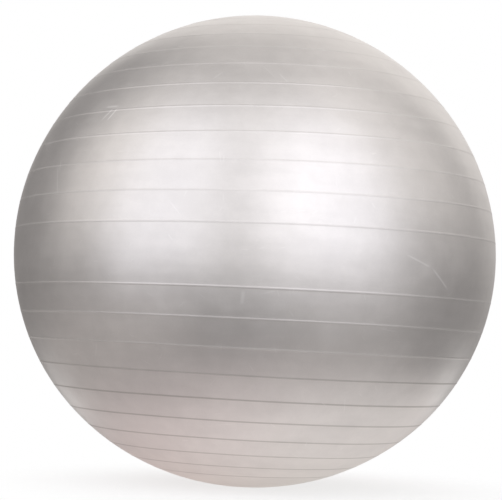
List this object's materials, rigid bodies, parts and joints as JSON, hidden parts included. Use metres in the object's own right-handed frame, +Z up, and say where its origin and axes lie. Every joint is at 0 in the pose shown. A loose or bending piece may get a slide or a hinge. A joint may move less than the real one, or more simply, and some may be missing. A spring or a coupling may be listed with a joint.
{
  "type": "exercise ball",
  "caption": "Inflated exercise ball with fine raised rings around its axis, a plain band at its waist, and a push-in plug in a valve at its upper pole.",
  "frame": {"origin": "centre of the flat patch on which the ball rests on the floor", "axes": "+Z up along the axis that the moulded rings share, out through the valve; X and Y are any two directions across it"},
  "size_m": [0.65, 0.65, 0.6351],
  "materials": {
    "ball_skin": "satin pearl-grey soft PVC",
    "valve_seat": "matt grey soft PVC",
    "valve_plug": "white moulded plastic, slightly glossy"
  },
  "bodies": {
    "ball": {"ball_shell": "ball_skin", "valve_seat": "valve_seat"},
    "plug": {"valve_plug": "valve_plug"}
  },
  "joints": [
    {"name": "plug_pull", "type": "slide", "parent": "ball", "child": "plug", "axis": [0, 0, 1], "range_m": [0, 0.03]}
  ]
}
